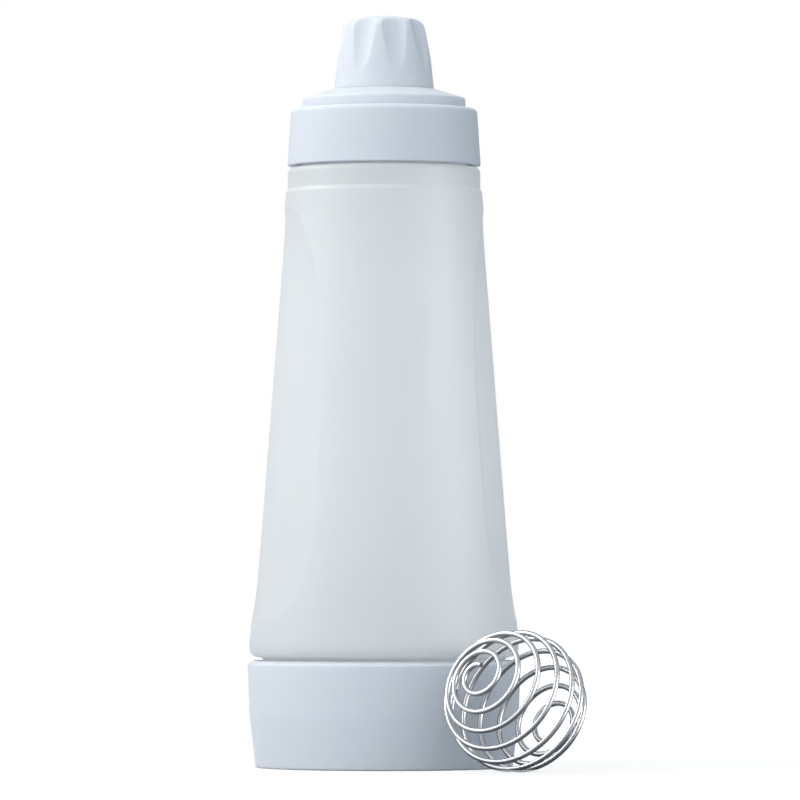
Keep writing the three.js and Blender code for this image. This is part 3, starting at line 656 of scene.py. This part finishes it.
# Collar, and the gasket that it presses on the upper rim
lid_collar = turned("lid_collar_dressed", outline([
    (COLLAR_BORE, COLLAR_BOTTOM, 0.4),
    (COLLAR_FOOT, COLLAR_BOTTOM, 0.6),
    (COLLAR_FOOT - 1.3, COLLAR_TOP, 4.2),
    (STEP + SLIP_GAP, COLLAR_TOP, 0.3),
    (STEP + SLIP_GAP, LIP_BOTTOM, 0.2),
    (COLLAR_BORE, LIP_BOTTOM, 0.4),
]), BLUE)
threaded(lid_collar, COLLAR_BORE, COLLAR_BORE - UPPER_RIDGE + RIDGE_RELIEF, 3,
         UPPER_RIDGE_FROM - PITCH / 2)
lid_gasket = ring("lid_gasket_dressed", UPPER_NECK - NECK_WALL - 0.2, FLANGE,
                  UPPER_RIM + SEAT_GAP, UPPER_RIM + SEAT_GAP + SEAL_THICKNESS, SILICONE)

# Spout plate: flange, stepped edge, low dome with a crest round the cap's foot, and threaded spout
spout_dome = turned("spout_dome_dressed", outline([
    (STEP - PLATE_WALL, FLANGE_BOTTOM, 0.3),
    (FLANGE, FLANGE_BOTTOM, 0.3),
    (FLANGE, FLANGE_TOP, 0.3),
    (STEP, FLANGE_TOP, 0.2),
    (STEP, STEP_TOP, 1.0),
    (STEP - 4.2, STEP_TOP + 1.3, 4.0),
    (CAP_FOOT + 0.7, DOME_TOP + 0.3, 0.5),
    (CAP_FOOT + 0.3, DOME_TOP + 0.3, 0.15),
    (CAP_FOOT + 0.2, DOME_TOP, 0.1),
    (SPOUT, DOME_TOP, 0.4),
    (SPOUT, SPOUT_RIM, 0.5),
    (SPOUT - SPOUT_WALL, SPOUT_RIM, 0.4),
    (SPOUT - SPOUT_WALL, PLATE_UNDER),
    (BOSS_BORE, PLATE_UNDER, 0.2),
    (BOSS_BORE, BOSS_BOTTOM, 0.3),
    (BOSS_BORE + BOSS_WALL, BOSS_BOTTOM, 0.3),
    (BOSS_BORE + BOSS_WALL, PLATE_UNDER, 0.4),
    (CAP_FOOT - 1.0, PLATE_UNDER),
    (STEP - 4.6, STEP_TOP + 1.3 - PLATE_WALL),
    (STEP - PLATE_WALL, STEP_TOP - PLATE_WALL, 0.5),
]), BLUE)
threaded(spout_dome, SPOUT, SPOUT + SPOUT_RIDGE, 2, SPOUT_RIDGE_FROM)

# Soft pouring nozzle in the spout, and the ring that holds its flange
nozzle = turned("nozzle_dressed", outline([
    (STEM - NOZZLE_WALL, NOZZLE_BOTTOM, 0.3),
    (BOSS_BORE - SLIP_GAP, NOZZLE_BOTTOM, 0.3),
    (BOSS_BORE - SLIP_GAP, NOZZLE_BOTTOM + SEAL_THICKNESS, 0.3),
    (STEM, NOZZLE_BOTTOM + SEAL_THICKNESS, 0.3),
    (STEM, SPOUT_RIM + 0.4, 1.0),
    (NOZZLE_TIP_RADIUS, NOZZLE_TIP, 0.7),
    (NOZZLE_OUTLET, NOZZLE_TIP, 0.3),
    (STEM - NOZZLE_WALL, SPOUT_RIM - 1.4, 1.0),
]), SILICONE, evenly(96))
nozzle_retainer = ring("nozzle_retainer_dressed", STEM - NOZZLE_WALL, BOSS_BORE - SLIP_GAP,
                       RETAINER_BOTTOM, RETAINER_BOTTOM + RETAINER_HEIGHT, BLUE)

# Twist cap: threaded bore, liner, and flutes that deepen towards the crown
twist_cap = turned("twist_cap_dressed", fine(outline([
    (0, ROOF),
    (LINER_SEAT, ROOF),
    (LINER_SEAT, LINER_BOTTOM - 0.8),
    (CAP_BORE, SPOUT_RIM + 1.2),
    (CAP_BORE, CAP_BOTTOM, 0.4),
    (CAP_FOOT, CAP_BOTTOM, 0.35),
    (CAP_WAIST, CAP_BOTTOM + (CAP_TOP - CAP_BOTTOM) * 0.42, 30),
    (CAP_SHOULDER, CAP_TOP - CROWN_RISE, 4.5),
    (5.0, CAP_TOP, 13.5),
    (0, CAP_TOP),
], 16), lambda height: 0.35), BLUE, evenly(324))
shaped(twist_cap, FLUTES, Count=FLUTE_COUNT, Turn=FLUTE_TURN, Radius=FLUTE_RADIUS * MM, Lean=FLUTE_LEAN,
       Waist=CAP_WAIST * MM, Foot=(CAP_TOP - FLUTE_LENGTH) * MM, Soft=FLUTE_SOFTNESS * MM, Material=BLUE)
threaded(twist_cap, CAP_BORE, CAP_BORE - SPOUT_RIDGE + RIDGE_RELIEF, 2, SPOUT_RIDGE_FROM - PITCH / 2)
cap_liner = turned("cap_liner_dressed", outline([
    (0, LINER_BOTTOM),
    (LINER, LINER_BOTTOM, 0.3),
    (LINER, LINER_BOTTOM + SEAL_THICKNESS, 0.3),
    (0, LINER_BOTTOM + SEAL_THICKNESS),
], 4), SILICONE, evenly(96))

# Wire ball, set down where its solid stands
whisk_ball = bpy.data.objects.new("whisk_ball_dressed", bpy.data.meshes.new("whisk_ball_dressed"))
bpy.context.collection.objects.link(whisk_ball)
shaped(whisk_ball, WIRE, Radius=(BALL_DIAMETER - WIRE_DIAMETER) / 2 * MM, Wire=WIRE_DIAMETER * MM,
       Turns=WIRE_TURNS, From=math.radians(9), To=math.radians(165.3), Ease=math.radians(44.7),
       Phase=math.radians(-8.7), Steps=640, Material=STEEL)
ball_up = (Vector((0, 0, 1)) - BALL_AXIS * BALL_AXIS.z).normalized()
ball_side = BALL_AXIS.cross(ball_up)
whisk_ball.data.transform(Matrix((ball_up, ball_side, BALL_AXIS)).transposed().to_4x4())
ball_x, ball_y = BALL_AWAY * MM * math.cos(BALL_BEARING), BALL_AWAY * MM * math.sin(BALL_BEARING)
lowest = min(v.co.z for v in whisk_ball.data.vertices)
whisk_ball.data.transform(Matrix.Translation((ball_x, ball_y, -lowest)))

for piece, body, node, slot in (
    (base_cap, "base", "base_cap", "blue_plastic"),
    (base_gasket, "base_seal", "base_gasket", "seal_silicone"),
    (bottle, "bottle", "bottle", "frosted_plastic"),
    (lid_collar, "collar", "lid_collar", "blue_plastic"),
    (lid_gasket, "spout", "lid_gasket", "seal_silicone"),
    (spout_dome, "spout", "spout_dome", "blue_plastic"),
    (nozzle, "spout", "nozzle", "seal_silicone"),
    (nozzle_retainer, "spout", "nozzle_retainer", "blue_plastic"),
    (twist_cap, "cap", "twist_cap", "blue_plastic"),
    (cap_liner, "liner", "cap_liner", "seal_silicone"),
    (whisk_ball, "whisk", "whisk_ball", "steel_wire"),
):
    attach(piece, body)
    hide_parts(node)

scene = bpy.context.scene
scene.view_settings.view_transform = "Standard"


def stage_sheet(name, corners, material):
    mesh = bpy.data.meshes.new(name)
    mesh.from_pydata(corners, [], [(0, 1, 2, 3)])
    mesh.materials.append(material)
    sheet = bpy.data.objects.new(name, mesh)
    bpy.context.collection.objects.link(sheet)
    return sheet


def plain_sight(tree):
    """1 for a ray of the camera, off gloss or through a clear wall, and 0 for light on a piece."""
    rays = add(tree, "ShaderNodeLightPath").outputs
    direct = add(tree, "ShaderNodeMath", {0: rays["Is Camera Ray"], 1: rays["Is Glossy Ray"]},
                 operation="MAXIMUM")
    return add(tree, "ShaderNodeMath", {0: direct, 1: rays["Is Transmission Ray"]}, operation="MAXIMUM")


# Pale paper that keeps the shadow close to the pieces and is white further out
def floor_paper(name):
    material, tree = new_material(name)
    place = add(tree, "ShaderNodeTexCoord").outputs["Object"]
    far = add(tree, "ShaderNodeVectorMath", {0: place}, operation="LENGTH").outputs["Value"]
    fade = add(tree, "ShaderNodeMapRange", {0: far, 1: 0.1, 2: 0.3, 3: 0.75, 4: 1.0},
               interpolation_type="SMOOTHSTEP")
    seen = plain_sight(tree)
    share = add(tree, "ShaderNodeMath", {0: seen, 1: fade}, operation="MULTIPLY")
    tone = add(tree, "ShaderNodeMix", {0: seen, 6: linear("#a2abb2"), 7: linear("#f6f7f8")},
               data_type="RGBA")
    paper = add(tree, "ShaderNodeBsdfDiffuse", {"Color": tone.outputs[2]})
    glow = add(tree, "ShaderNodeEmission", {"Color": (1, 1, 1, 1), "Strength": 1.02})
    both = add(tree, "ShaderNodeMixShader", {0: share, 1: paper, 2: glow})
    add(tree, "ShaderNodeOutputMaterial", {"Surface": both})
    return material


def card_felt(name, code):
    material, tree = new_material(name)
    felt = add(tree, "ShaderNodeBsdfDiffuse", {"Color": linear(code)})
    add(tree, "ShaderNodeOutputMaterial", {"Surface": felt})
    return material


stage_sheet("floor", [(-4, -4, 0), (4, -4, 0), (4, 6, 0), (-4, 6, 0)], floor_paper("pale_floor_paper"))

# Cards out of the camera's sight: one shades the right side, two give the wire its darker edges
dark_card, grey_card = card_felt("dark_card", "#333f4a"), card_felt("grey_card", "#7a7d82")
for name, felt, shades, corners in (
    ("right_card", dark_card, True,
     [(0.6, -0.3, 0.2), (0.6, 0.6, 0.2), (0.6, 0.6, 0.7), (0.6, -0.3, 0.7)]),
    ("back_card", grey_card, False,
     [(-0.3, 0.4, 0), (1.0, 0.4, 0), (1.0, 0.4, 0.4), (-0.3, 0.4, 0.4)]),
    ("low_card", grey_card, False,
     [(0.0, -0.4, 0.001), (0.3, -0.4, 0.001), (0.3, 0.3, 0.001), (0.0, 0.3, 0.001)]),
):
    card = stage_sheet(name, corners, felt)
    card.visible_camera = False
    card.visible_transmission = False
    card.visible_shadow = False
    card.visible_diffuse = shades

# White surround, which lights the pieces with a slightly cool daylight
COOL_DAYLIGHT = (0.917, 0.958, 1, 1)
DAYLIGHT_STRENGTH = 1.163
WHITE = (1, 1, 1, 1)
world = bpy.data.worlds.new("white_surround")
scene.world = world
world.use_nodes = True
tree = world.node_tree
tree.nodes.clear()
seen = plain_sight(tree)
tone = add(tree, "ShaderNodeMix", {0: seen, 6: COOL_DAYLIGHT, 7: WHITE}, data_type="RGBA")
strength = add(tree, "ShaderNodeMapRange", {0: seen, 1: 0.0, 2: 1.0, 3: DAYLIGHT_STRENGTH, 4: 1.0})
sky = add(tree, "ShaderNodeBackground", {"Color": tone.outputs[2], "Strength": strength})
add(tree, "ShaderNodeOutputWorld", {"Surface": sky})


def soft_box(name, spot, size, watts, tint=(1, 1, 1)):
    """A rectangular lamp that faces the middle of the bottle."""
    lamp = bpy.data.lights.new(name, "AREA")
    lamp.shape = "RECTANGLE"
    lamp.size, lamp.size_y = size
    lamp.energy = watts
    lamp.color = tint
    box = bpy.data.objects.new(name, lamp)
    box.location = spot
    middle = Vector((0, 0, 0.13))
    box.rotation_euler = (middle - Vector(spot)).to_track_quat("-Z", "Y").to_euler()
    box.visible_camera = False
    bpy.context.collection.objects.link(box)
    return box


soft_box("key_left", (-1.6, -0.7, 1.0), (0.9, 1.3), 14.2, (1, 0.94, 0.875))
# a broad sheen down the right side, and one from high on the left that picks out the grip's edge
for sheen in (soft_box("sheen_right", (1.6, -0.7, 0.5), (1.2, 1.6), 58, (1, 0.965, 0.93)),
              soft_box("sheen_left", (-1.5, 0.3, 1.2), (0.7, 0.9), 34)):
    sheen.visible_diffuse = False

# Camera: a long lens close to level, as in the photograph
CAMERA_AWAY = 2420
FIELD_WIDTH = 277
lens = bpy.data.cameras.new("camera")
lens.sensor_width = 36.0
lens.lens = lens.sensor_width * CAMERA_AWAY / FIELD_WIDTH
camera = bpy.data.objects.new("camera", lens)
camera.location = (0.0055, -CAMERA_AWAY * MM, 0.0714)
aim = Vector((0.0055, 0, 0.1271))
camera.rotation_euler = (aim - camera.location).to_track_quat("-Z", "Y").to_euler()
bpy.context.collection.objects.link(camera)
scene.camera = camera

bpy.context.view_layer.update()
